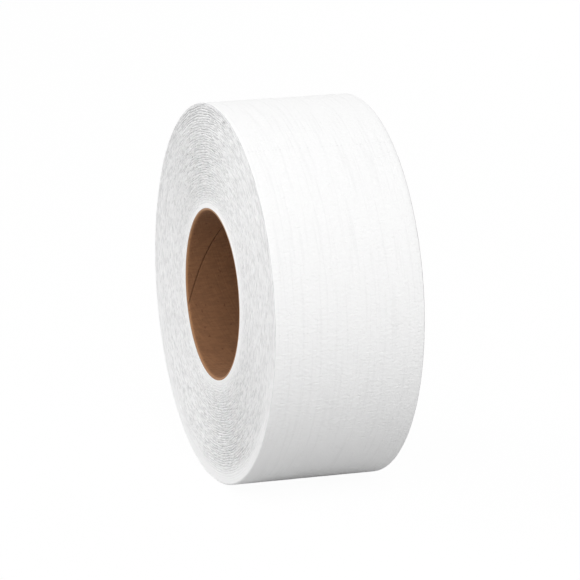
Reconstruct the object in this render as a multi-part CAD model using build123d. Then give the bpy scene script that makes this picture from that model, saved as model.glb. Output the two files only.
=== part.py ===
from build123d import *
import math
import os

# Jumbo toilet paper roll
#
# A soft two-ply sheet wound round a wide cardboard tube, as it goes into a washroom dispenser. The roll
# stands on its tread like a wheel. Its axis lies along Y, with the end that faces the camera at -Y, and
# Z points up. The origin is the middle of the tube's bore.
#
# Each piece is drawn with its axis along its own Z and its top on its own X, and set upright at the end.
# Lengths are in millimetres and angles in degrees, turned from the top towards +X.

# The roll as wound. Its soft ends, once cut, swell a little past the tube's.
roll_diameter = 226.0
sheet_width = 91.4
end_swell = 0.2
corner_bevel = 1.0

# The loose end of the sheet, which hangs down behind the roll
sheet_thickness = 0.25
tail_angle = -100.0

# How far the roll's own weight flattens its tread
settling = 0.6

# The turns that show on the two ends: bands of the wound sheet that rise outwards and drop to the next
turn_width = 5.9
turn_depth = 0.6
turn_drop = 0.45
plain_at_core = 2.0
plain_at_rim = 1.2

# The cardboard tube, with the seam between the edges of its inner ply
core_diameter = 102.0
core_wall = 1.8
mouth_bevel = 0.8
mouth_depth = 1.5
seam_lead = 114.0
seam_gap = 0.7
seam_angle = -111.0
seam_overrun = 3.0

# Places that follow from the sizes above
roll_radius = roll_diameter / 2
core_radius = core_diameter / 2
bore_radius = core_radius - core_wall
tube_end = sheet_width / 2
roll_end = tube_end + end_swell
through = 2 * sheet_width
half_turn = 180.0
full_turn = 360.0
upright = Plane(origin=(0, 0, 0), x_dir=(0, 0, 1), z_dir=(0, 1, 0))


def turned_half(section, centre, over):
    """A section at +X, turned half way round an axis at X = centre: over by +Y, or else under by -Y."""
    half = revolve(section, Axis.Z, half_turn)
    if not over:
        half = Rot(0, 0, -half_turn) * half
    return Pos(centre, 0, 0) * half


def disc_section(radius):
    """Half of the wound roll's section, from its axis out to its soft corners."""
    section = Plane.XZ * Pos(radius / 2, 0) * Rectangle(radius, 2 * roll_end)
    corners = section.vertices().group_by(Axis.X)[-1]
    return chamfer(corners, corner_bevel)


def band_section(radius, end):
    """What one turn leaves free above its sloping edge, at the end at -1 or +1."""
    face = roll_end * end
    clear = turn_depth / 2
    above = (clear + turn_depth) / turn_depth
    low = (radius, face - turn_depth * end)
    inner = (radius - turn_drop * above, face + clear * end)
    outer = (radius + turn_width * above, face + clear * end)
    return Plane.XZ * make_face(Polyline(low, inner, outer, close=True))


def bands(end):
    """The turns on one end: half turns about two centres, each of which carries on from the last."""
    step = turn_width / 2
    first = core_radius + plain_at_core + turn_drop
    last = roll_radius - corner_bevel - plain_at_rim - turn_width - step
    count = math.floor((last - first) / step) + 1
    for k in range(count):
        over = k % 2 == 1
        section = band_section(first + k * step, end)
        yield turned_half(section, step if over else 0, over)


def make_tissue_roll():
    """The wound sheet, with its loose end, its turns and its flat spot, round the tube's outside."""
    lift = sheet_thickness / 2
    wound = turned_half(disc_section(roll_radius), 0, False)
    wound += turned_half(disc_section(roll_radius + lift), lift, True)
    wound -= Cylinder(core_radius, through)
    for end in (-1, 1):
        for band in bands(end):
            wound -= band
    wound = Rot(0, 0, tail_angle) * wound
    rest = roll_radius - settling
    below = Pos(-rest - roll_radius, 0, 0) * Box(roll_diameter, 2 * roll_diameter, through)
    return upright.location * (wound - below)


def core_section():
    """Half of the tube's section, whose inner edges are crushed back round its mouths."""
    rim = bore_radius + mouth_bevel
    throat = tube_end - mouth_depth
    outside = [(core_radius, tube_end), (core_radius, -tube_end)]
    inside = [(rim, -tube_end), (bore_radius, -throat), (bore_radius, throat), (rim, tube_end)]
    return Plane.XZ * make_face(Polyline(*outside, *inside, close=True))


def make_core():
    """The tube, with the helical gap between the edges of its inner ply."""
    tube = revolve(core_section(), Axis.Z)
    ply = core_wall / 2
    start = -tube_end - seam_overrun
    length = sheet_width + 2 * seam_overrun
    seam = Helix(seam_lead, length, bore_radius, center=(0, 0, start))
    across = Plane(origin=seam @ 0, x_dir=(1, 0, 0), z_dir=seam % 0)
    gap = sweep(across * Rectangle(2 * ply, seam_gap), path=seam, is_frenet=True)
    tube -= Rot(0, 0, seam_angle - full_turn * seam_overrun / seam_lead) * gap
    return upright.location * tube


os.makedirs("parts", exist_ok=True)
export_step(make_tissue_roll(), "parts/tissue_roll.step")
export_step(make_core(), "parts/core.step")
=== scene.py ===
# The looks of a jumbo toilet paper roll: soft white tissue wound round a wide cardboard tube, standing on
# its tread. Lengths are in millimetres where a name or a comment says so, and in metres elsewhere.
import math

import bpy
import numpy as np
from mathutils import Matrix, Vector


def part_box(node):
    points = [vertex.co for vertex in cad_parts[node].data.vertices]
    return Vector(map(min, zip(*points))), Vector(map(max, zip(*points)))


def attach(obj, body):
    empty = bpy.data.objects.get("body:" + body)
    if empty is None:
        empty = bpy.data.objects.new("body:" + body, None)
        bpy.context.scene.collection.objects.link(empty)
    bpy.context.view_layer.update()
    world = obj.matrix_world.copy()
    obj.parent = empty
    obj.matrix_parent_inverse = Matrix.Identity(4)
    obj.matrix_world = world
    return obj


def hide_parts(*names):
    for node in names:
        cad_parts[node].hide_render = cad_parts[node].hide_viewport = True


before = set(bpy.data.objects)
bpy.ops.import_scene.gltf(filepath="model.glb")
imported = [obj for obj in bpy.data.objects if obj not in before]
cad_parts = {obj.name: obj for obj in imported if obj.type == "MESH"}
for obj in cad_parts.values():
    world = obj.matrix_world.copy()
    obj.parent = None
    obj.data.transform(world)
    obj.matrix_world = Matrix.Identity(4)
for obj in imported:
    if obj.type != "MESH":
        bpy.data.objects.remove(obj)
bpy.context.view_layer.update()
mm = 0.001

# The cardboard tube
#
# Two strips of brown kraft board are wound side by side in a helix, glued one over the other and cut to
# the sheet's width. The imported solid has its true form, with the gap between the inner strip's edges.
tube_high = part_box("core")[1]
tube_radius = tube_high.x
tube_end = tube_high.y
board_thickness = 1.8 * mm
seam_lead = 114 * mm


def linear(code):
    """An sRGB hex colour as the linear red, green, blue and alpha that a shader works in."""
    shares = [int(code[k : k + 2], 16) / 255 for k in (1, 3, 5)]
    return (*[s / 12.92 if s <= 0.04045 else ((s + 0.055) / 1.055) ** 2.4 for s in shares], 1.0)


def add(tree, kind, inputs, **settings):
    """Adds a node with its settings. An input takes a value, an output, or a node, for its first output."""
    node = tree.nodes.new("ShaderNode" + kind)
    for name, value in settings.items():
        setattr(node, name, value)
    for name, value in inputs.items():
        if isinstance(value, bpy.types.Node):
            value = value.outputs[0]
        if isinstance(value, bpy.types.NodeSocket):
            tree.links.new(value, node.inputs[name])
        else:
            node.inputs[name].default_value = value
    return node


def kraft_board():
    """Unbleached kraft board: matt and warm brown, with long fibres, fine wrinkles and dark specks."""
    material = bpy.data.materials.new("unbleached_kraft_board")
    material.use_nodes = True
    tree = material.node_tree
    tree.nodes.clear()
    place = add(tree, "TexCoord", {}).outputs["Object"]
    metres = add(tree, "SeparateXYZ", {0: place})
    across = add(tree, "CombineXYZ", {0: metres.outputs["X"], 2: metres.outputs["Z"]})
    radius = add(tree, "VectorMath", {0: across}, operation="LENGTH").outputs["Value"]

    # The fibres lie along the strip, so they follow the seam's helix. They show as bundles, drawn about
    # 1 mm wide and 20 mm long, coarser than the real ones.
    along = metres.outputs["Y"]
    fibre_turn = add(tree, "Math", {0: along, 1: math.tau / seam_lead}, operation="MULTIPLY")
    along_strip = add(tree, "VectorRotate", {0: place, "Axis": (0, 1, 0), "Angle": fibre_turn})
    stretched = add(tree, "VectorMath", {0: along_strip, 1: (1, 0.12, 1)}, operation="MULTIPLY")
    fibres = add(tree, "TexNoise", {"Vector": stretched, "Scale": 1 / (0.9 * mm), "Detail": 3.0})

    # Bent round the mandrel, the strip takes fine wrinkles along the tube, 1.3 mm apart and 5 mm long.
    drawn = add(tree, "VectorMath", {0: place, 1: (1, 0.25, 1)}, operation="MULTIPLY")
    wrinkle_settings = {"Vector": drawn, "Scale": 1 / (1.3 * mm), "Detail": 1.0, "Distortion": 0.3}
    wrinkles = add(tree, "TexNoise", wrinkle_settings)

    # Clouds of darker pulp some 20 mm across, and specks of bark of 1 to 2 mm.
    clouds = add(tree, "TexNoise", {"Vector": place, "Scale": 1 / (20 * mm), "Detail": 3.0})
    bark = add(tree, "TexNoise", {"Vector": place, "Scale": 1 / (2.6 * mm), "Detail": 2.0})
    specks = add(tree, "MapRange", {0: bark, 1: 0.66, 2: 0.72, 3: 0.0, 4: 0.5})

    grain = add(tree, "MapRange", {0: fibres, 1: 0.3, 2: 0.7})
    inside = add(tree, "Mix", {0: grain, 6: linear("#81593A"), 7: linear("#956A47")}, data_type="RGBA")
    # Painted shade: along the wrinkles' creases the brown is darkened, standing in for the shade that falls
    # in them, besides their bump.
    crease_shade = add(tree, "MapRange", {0: wrinkles, 1: 0.42, 2: 0.60, 3: 0.0, 4: 0.35})
    board_with_crease_shade = add(tree, "Mix", {0: crease_shade, 6: inside.outputs[2], 7: linear("#6B492F")}, data_type="RGBA")
    tone = add(tree, "MapRange", {0: clouds, 1: 0.35, 2: 0.7, 3: 0.0, 4: 0.3})
    pulp = add(tree, "Mix", {0: tone, 6: board_with_crease_shade.outputs[2], 7: linear("#744C2F")}, data_type="RGBA")

    # The cut and crushed mouth, nearly 1 mm deep, shows the outer strip, greyer, and the inner one's torn
    # edge, more orange and 0.5 mm wide.
    torn = tube_radius - board_thickness + 0.5 * mm
    ply = add(tree, "MapRange", {0: radius, 1: torn - 0.1 * mm, 2: torn + 0.1 * mm})
    cut = add(tree, "Mix", {0: ply, 6: linear("#AC7849"), 7: linear("#A57C5B")}, data_type="RGBA")
    depth = add(tree, "Math", {0: along}, operation="ABSOLUTE")
    at_end = add(tree, "MapRange", {0: depth, 1: tube_end - 0.95 * mm, 2: tube_end - 0.6 * mm})
    board = add(tree, "Mix", {0: at_end, 6: pulp.outputs[2], 7: cut.outputs[2]}, data_type="RGBA")
    speckled = add(tree, "Mix", {0: specks, 6: board.outputs[2], 7: linear("#55280F")}, data_type="RGBA")

    relief = add(tree, "Math", {0: wrinkles, 1: 2.0, 2: fibres}, operation="MULTIPLY_ADD")
    bump = add(tree, "Bump", {"Height": relief, "Distance": 0.12 * mm, "Strength": 0.6})
    surface = {"Base Color": speckled.outputs[2], "Roughness": 0.85, "IOR": 1.5, "Normal": bump}
    shader = add(tree, "BsdfPrincipled", surface)
    add(tree, "OutputMaterial", {"Surface": shader})
    return material


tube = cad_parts["core"]
tube.data.materials.clear()
tube.data.materials.append(kraft_board())

# The wound tissue
#
# One long two-ply sheet of creped tissue, wound tight on the tube and slit to its width. The two ends show
# the edges of several hundred turns, and the tread is the outer turn, whose loose end hangs at the back.
roll_low, roll_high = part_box("tissue_roll")
roll_end = roll_high.y / mm
roll_radius = roll_high.x / mm
floor_level = roll_low.z
inner_radius = tube_radius / mm
sheet_thickness = 0.25
tail_angle = math.radians(-100)
ends_depth = 0.25
lip_radius = 0.3
lip_swell = 0.15
corner_radius = 1.0
shoulder_width = 12.0
shoulder_drop = 0.15
worm_width = 1.5
crevice_width = 0.84
crevice_depth = 1.0
columns = 250
step_at_tail = 0.0002
lip_rows = 3
end_rows = 180
corner_rows = 5
tread_rows = 14


def smooth(share):
    """Eases a share between 0 and 1 in and out."""
    share = np.clip(share, 0, 1)
    return share * share * (3 - 2 * share)


def patches(across, turn, changes, seed):
    """Smooth random values from -1 to 1, in rings one unit wide across, with so many changes to a turn."""
    random = np.random.default_rng(seed)
    values = random.uniform(-1, 1, (128, changes))
    starts = random.uniform(0, changes, 128)
    across, turn = np.broadcast_arrays(across, turn)
    ring = np.floor(across).astype(int)

    def along(ring):
        place = turn * changes + starts[ring]
        step = np.floor(place).astype(int)
        share = smooth(place - step)
        return values[ring, step % changes] * (1 - share) + values[ring, (step + 1) % changes] * share

    share = smooth(across - ring)
    return along(ring) * (1 - share) + along(ring + 1) * share


def wound_end(turn, outline, seed):
    """The radius and height of an end's rows: a lip at the tube, the rough turns, and a soft corner."""
    first = inner_radius + lip_radius
    last = outline - corner_radius
    share = (np.arange(end_rows)[:, None] + 0.5) / end_rows
    radius = first + (last - first) * share
    shoulder = smooth((radius - last + shoulder_width) / shoulder_width)
    from_tube = radius - first

    # The turns are roughest at the top. They are smooth beside the tube, and in the outer turns underneath.
    below = 0.5 - 0.5 * np.cos(turn * math.tau + tail_angle)
    rough = smooth(from_tube / 3.5) * (0.6 + 0.4 * smooth(from_tube / 30))
    rough = rough * (1 - 0.1 * below) * (1 - 0.9 * shoulder * below)

    # Broad bands, groups of turns, and worms of a few turns each, parted by deep and narrow crevices
    bands = 0.06 * patches(radius / 5.9, turn, 7, seed)
    groups = 0.04 * patches(radius / 2.8, turn, 43, seed + 1)
    wriggle = 0.36 * patches(radius / 2.0, turn, 105, seed + 2)
    across = radius / worm_width + wriggle
    slope = np.gradient(across, axis=0) / np.gradient(radius, axis=0)
    from_crevice = np.abs(across - np.round(across)) / slope
    deep = np.clip(0.8 + 0.3 * patches(radius / worm_width, turn, 130, seed + 3), 0, 1)
    crevices = crevice_depth * deep * np.clip(1 - from_crevice / (crevice_width / 2), 0, 1)

    # The first turns stand proud of the tube, in a shallow ring, and the outer ones sink a little.
    swell = lip_swell * (np.exp(-((from_tube / 1.2) ** 2)) - np.exp(-(((from_tube - 3.2) / 1.5) ** 2)))
    plain = roll_end - ends_depth
    height = plain + swell - shoulder_drop * shoulder + (bands + groups - crevices) * rough

    lip = ((np.arange(lip_rows) + 0.5) / lip_rows * math.pi / 2)[:, None]
    lip_at = first - lip_radius * np.cos(lip) + 0 * turn
    lip_height = plain + lip_swell - lip_radius * (1 - np.sin(lip)) + 0 * turn
    corner = ((np.arange(corner_rows) + 0.5) / corner_rows * math.pi / 2)[:, None]
    corner_at = last + corner_radius * np.sin(corner)
    corner_height = plain - shoulder_drop - corner_radius * (1 - np.cos(corner)) + 0 * turn
    return np.vstack([lip_at, radius, corner_at]), np.vstack([lip_height, height, corner_height])


def wound_tissue():
    """One closed skin: an end, the tread, the other end, and the wall round the tube between them."""
    # The last column stands just short of a full turn. From there to the first is the loose end's step.
    turn = np.append(np.arange(columns) / columns, 1 - step_at_tail)
    outline = roll_radius + sheet_thickness / 2 * (1 + np.cos(turn * math.tau)) * (turn <= 0.5)
    front_radius, front_height = wound_end(turn, outline, 10)
    back_radius, back_height = wound_end(turn, outline, 20)

    # The outer turn puckers by 0.04 mm, in patches 4.4 mm wide and 30 mm long.
    reach = roll_end - ends_depth - shoulder_drop - corner_radius
    tread_y = reach * (2 * (np.arange(tread_rows)[:, None] + 0.5) / tread_rows - 1)
    tread_radius = outline + 0.04 * patches(tread_y / 4.4 + 20, turn, 24, 30)

    radius = np.vstack([front_radius, tread_radius, back_radius[::-1]])
    y = np.vstack([-front_height, tread_y + 0 * turn, back_height[::-1]])
    angle = turn * math.tau + tail_angle
    z = np.maximum(radius * np.cos(angle), floor_level / mm)
    points = np.stack([radius * np.sin(angle), y, z], axis=-1).reshape(-1, 3) * mm

    across, around = radius.shape
    i, j = np.meshgrid(np.arange(across), np.arange(around), indexing="ij")
    next_i, next_j = (i + 1) % across, (j + 1) % around
    corners = [i * around + j, i * around + next_j, next_i * around + next_j, next_i * around + j]
    quads = np.stack(corners, axis=-1).reshape(-1, 4)
    mesh = bpy.data.meshes.new("wound_tissue")
    mesh.from_pydata(points.tolist(), [], quads.tolist())

    # The tread and the outer half of its corners are shaded smooth, and the cut ends aren't.
    rounded = np.repeat(np.abs(y[:, 0]) < reach + corner_radius / 2, around)
    mesh.polygons.foreach_set("use_smooth", rounded)
    mesh.set_sharp_from_angle(angle=math.radians(60))
    piece = bpy.data.objects.new("wound_tissue", mesh)
    bpy.context.scene.collection.objects.link(piece)
    return piece


def creped_tissue():
    """Bleached creped tissue: matt, white and a little fuzzy, with rough cut edges on the ends, whose deep
    edges and thread gaps carry painted shade.
    """
    material = bpy.data.materials.new("bleached_creped_tissue")
    material.use_nodes = True
    tree = material.node_tree
    tree.nodes.clear()
    place = add(tree, "TexCoord", {}).outputs["Object"]
    at = add(tree, "VectorMath", {0: place, "Scale": 1 / mm}, operation="SCALE")
    parts = add(tree, "SeparateXYZ", {0: at})
    across = add(tree, "VectorMath", {0: at, 1: (1, 0, 1)}, operation="MULTIPLY")
    radius = add(tree, "VectorMath", {0: across}, operation="LENGTH").outputs["Value"]
    direction = add(tree, "VectorMath", {0: across}, operation="NORMALIZE")
    depth = add(tree, "Math", {0: parts.outputs["Y"]}, operation="ABSOLUTE")

    # The cut edges on the ends carry painted shade, darker the deeper they lie and in the gaps between
    # threads about 1 mm apart.
    painted_depth_shade = add(tree, "MapRange", {0: depth, 1: roll_end - 1.0, 2: roll_end - 0.4, 3: 0.53, 4: 0.03})
    which_end = add(tree, "Math", {0: parts.outputs["Y"], 1: 0.3, 2: radius}, operation="MULTIPLY_ADD")
    thread_at = add(tree, "CombineXYZ", {1: which_end})
    thread_run = {0: direction, 1: (9, 9, 9), 2: thread_at}
    thread_place = add(tree, "VectorMath", thread_run, operation="MULTIPLY_ADD")
    thread_settings = {"Vector": thread_place, "Scale": 1.9, "Detail": 1.0, "Distortion": 0.6}
    threads = add(tree, "TexNoise", thread_settings)
    painted_gap_shade = add(tree, "MapRange", {0: threads, 1: 0.55, 2: 0.4, 3: 0.0, 4: 0.25})

    # The painted shade fades out beside the tube, and in the outer turns underneath, where the edges are
    # laid flat.
    from_rim = add(tree, "MapRange", {0: radius, 1: roll_radius - 14, 2: roll_radius - 5})
    below = add(tree, "MapRange", {0: parts.outputs["Z"], 1: 30.0, 2: -roll_radius, 3: 0.0, 4: 1.0})
    laid_flat = add(tree, "Math", {0: from_rim, 1: below}, operation="MULTIPLY")
    ruffled = add(tree, "Math", {0: 1.0, 1: laid_flat}, operation="SUBTRACT")
    from_tube = add(tree, "MapRange", {0: radius, 1: inner_radius + 1, 2: inner_radius + 9})
    inset = add(tree, "Math", {0: ruffled, 1: from_tube}, operation="MULTIPLY")
    shaded = add(tree, "Math", {0: painted_depth_shade, 1: painted_gap_shade}, operation="ADD")
    crevices = add(tree, "Math", {0: shaded, 1: inset}, operation="MULTIPLY")

    # The tread, unrolled: thin streaks along the sheet, 50 mm long and more, where the web was pulled tight
    around = add(tree, "Math", {0: parts.outputs["X"], 1: parts.outputs["Z"]}, operation="ARCTAN2")
    run = add(tree, "Math", {0: around, 1: roll_radius}, operation="MULTIPLY")
    unrolled = add(tree, "CombineXYZ", {0: run, 1: parts.outputs["Y"]})
    fine_at = add(tree, "VectorMath", {0: unrolled, 1: (0.02, 0.55, 1)}, operation="MULTIPLY")
    fine = add(tree, "TexNoise", {"Vector": fine_at, "Scale": 1.0, "Detail": 1.0})
    streaks = add(tree, "MapRange", {0: fine, 1: 0.47, 2: 0.35})

    # The crepe itself: broken wrinkles across the sheet, about 1.5 mm apart, coarser than the real ones
    crepe_at = add(tree, "VectorMath", {0: unrolled, 1: (0.65, 0.35, 1)}, operation="MULTIPLY")
    crepe = add(tree, "TexNoise", {"Vector": crepe_at, "Scale": 1.0, "Detail": 2.0, "Distortion": 0.2})

    # Rows of perforations across the sheet, pressed shut here and there. The first is set off from the top
    # by a share of a sheet's length.
    sheet_length = 115.0
    set_off = 0.966
    slit_pitch = 2.4
    rows = add(tree, "Math", {0: run, 1: 1 / sheet_length, 2: set_off}, operation="MULTIPLY_ADD")
    in_sheet = add(tree, "Math", {0: rows}, operation="FRACT")
    off_row = add(tree, "Math", {0: in_sheet, 1: 0.5}, operation="SUBTRACT")
    from_row = add(tree, "Math", {0: off_row}, operation="ABSOLUTE")
    row_edge = {0: from_row, 1: 0.2 / sheet_length, 2: 0.7 / sheet_length, 3: 1.0, 4: 0.0}
    on_row = add(tree, "MapRange", row_edge)
    slits = add(tree, "Math", {0: parts.outputs["Y"], 1: slit_pitch}, operation="MODULO")
    slit = add(tree, "Math", {0: slits}, operation="ABSOLUTE")
    cut = add(tree, "MapRange", {0: slit, 1: slit_pitch / 2, 2: slit_pitch / 2 + 0.3})
    pulled = add(tree, "MapRange", {0: fine, 1: 0.56, 2: 0.44})
    open_slit = add(tree, "Math", {0: cut, 1: pulled}, operation="MULTIPLY")
    perforated = add(tree, "Math", {0: on_row, 1: open_slit}, operation="MULTIPLY")

    # Whether a point is on a cut end or on the tread
    facing = add(tree, "NewGeometry", {}).outputs["True Normal"]
    facing_y = add(tree, "SeparateXYZ", {0: facing}).outputs["Y"]
    endwise = add(tree, "Math", {0: facing_y}, operation="ABSOLUTE")
    on_end = add(tree, "MapRange", {0: endwise, 1: 0.45, 2: 0.6})

    faint = add(tree, "Math", {0: streaks, 1: 0.04}, operation="MULTIPLY")
    tread_dark = add(tree, "Math", {0: perforated, 1: 0.10, 2: faint}, operation="MULTIPLY_ADD")
    dark = add(tree, "Mix", {0: on_end, 2: tread_dark, 3: crevices}, data_type="FLOAT")
    # The ends' painted shade and the tread's perforation slits and streaks all darken the paper toward this
    # grey.
    paper = add(tree, "Mix", {0: dark, 6: linear("#F8F8F8"), 7: linear("#8C8C8E")}, data_type="RGBA")

    crepe_height = add(tree, "Math", {0: crepe, 1: 4.0}, operation="MULTIPLY")
    tread_height = add(tree, "Math", {0: streaks, 1: -0.4, 2: crepe_height}, operation="MULTIPLY_ADD")
    thread_height = add(tree, "Math", {0: threads, 1: inset}, operation="MULTIPLY")
    end_height = add(tree, "Math", {0: thread_height, 1: 2.5}, operation="MULTIPLY")
    height = add(tree, "Mix", {0: on_end, 2: tread_height, 3: end_height}, data_type="FLOAT")
    bump = add(tree, "Bump", {"Height": height, "Distance": 0.12 * mm, "Strength": 1.0})
    surface = {"Base Color": paper.outputs[2], "Roughness": 0.95, "IOR": 1.5, "Normal": bump}
    shader = add(tree, "BsdfPrincipled", surface)
    add(tree, "OutputMaterial", {"Surface": shader})
    return material


tissue = wound_tissue()
tissue.data.materials.append(creped_tissue())
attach(tissue, "root")
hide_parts("tissue_roll")

# The studio floor
#
# A sheet of matt pale grey paper that the roll stands on. It keeps the roll's shadow, and for the camera it
# is white paper, most of the way to the white of the backdrop.
floor_mesh = bpy.data.meshes.new("studio_floor")
floor_reach = 20.0
floor_sides = ((-1, -1), (1, -1), (1, 1), (-1, 1))
floor_corners = [(floor_reach * x, floor_reach * y, floor_level) for x, y in floor_sides]
floor_mesh.from_pydata(floor_corners, [], [(0, 1, 2, 3)])
studio_floor = bpy.data.objects.new("studio_floor", floor_mesh)
bpy.context.scene.collection.objects.link(studio_floor)
floor_paper = bpy.data.materials.new("matt_paper")
floor_paper.use_nodes = True
floor_tree = floor_paper.node_tree
floor_tree.nodes.clear()
seen = add(floor_tree, "LightPath", {}).outputs["Is Camera Ray"]
shade = add(floor_tree, "Mix", {0: seen, 6: linear("#D0D0D0"), 7: linear("#FFFFFF")}, data_type="RGBA")
matt = add(floor_tree, "BsdfDiffuse", {"Color": shade.outputs[2]})
white = add(floor_tree, "Emission", {"Color": (1, 1, 1, 1), "Strength": 1.0})
whitened = add(floor_tree, "Math", {0: seen, 1: 0.97}, operation="MULTIPLY")
both = add(floor_tree, "MixShader", {0: whitened, 1: matt, 2: white})
add(floor_tree, "OutputMaterial", {"Surface": both})
floor_mesh.materials.append(floor_paper)

# The studio light
#
# An even white room lights the roll from all round. The strongest soft box stands high on the tread's right
# side. Two face the front end, one low and one from above, and two stand behind, on either side.
world = bpy.data.worlds.new("studio_room")
bpy.context.scene.world = world
world.use_nodes = True
room = world.node_tree
room.nodes.clear()
path = add(room, "LightPath", {})
camera_ray, glossy_ray = path.outputs["Is Camera Ray"], path.outputs["Is Glossy Ray"]
looked_at = add(room, "Math", {0: camera_ray, 1: glossy_ray}, operation="MAXIMUM")
fill = add(room, "Background", {"Color": (1, 1, 1, 1), "Strength": 0.35})
backdrop = add(room, "Background", {"Color": (1, 1, 1, 1), "Strength": 1.0})
seen_room = add(room, "MixShader", {0: looked_at, 1: fill, 2: backdrop})
add(room, "OutputWorld", {"Surface": seen_room})
box_distance = 2.2
soft_boxes = (
    ("end_soft_box", 0, 4, 13),
    ("upper_soft_box", -30, 42, 12.5),
    ("side_soft_box", 75, 42, 28.5),
    ("back_soft_box", 160, 15, 5),
    ("far_soft_box", 225, 20, 13),
)
for name, turned, risen, power in soft_boxes:
    soft_box = bpy.data.lights.new(name, "AREA")
    soft_box.shape = "DISK"
    soft_box.size = 1.6
    soft_box.energy = power
    stand = bpy.data.objects.new(name, soft_box)
    side = math.radians(turned)
    rise = math.radians(risen)
    way = Vector((math.sin(side) * math.cos(rise), -math.cos(side) * math.cos(rise), math.sin(rise)))
    stand.location = way * box_distance
    stand.rotation_mode = "QUATERNION"
    stand.rotation_quaternion = way.to_track_quat("Z", "Y")
    stand.visible_camera = False
    bpy.context.scene.collection.objects.link(stand)
bpy.context.scene.view_settings.view_transform = "Standard"

# The camera
#
# It stands where the photograph's did: a long way off, to the right of the roll's front end and above it.
view_turn = math.radians(70.72)
view_rise = math.radians(13.35)
view_distance = 2.4849
aim_right = 2.84 * mm
aim_up = -0.96 * mm
focal_length = 259.85
away = Vector((
    math.sin(view_turn) * math.cos(view_rise),
    -math.cos(view_turn) * math.cos(view_rise),
    math.sin(view_rise),
))
camera = bpy.data.objects.new("camera", bpy.data.cameras.new("camera"))
camera.data.sensor_width = 36.0
camera.data.lens = focal_length
camera.rotation_mode = "QUATERNION"
camera.rotation_quaternion = away.to_track_quat("Z", "Y")
sideways = camera.rotation_quaternion @ Vector((1, 0, 0))
upward = camera.rotation_quaternion @ Vector((0, 1, 0))
camera.location = away * view_distance + sideways * aim_right + upward * aim_up
bpy.context.scene.collection.objects.link(camera)
bpy.context.scene.camera = camera
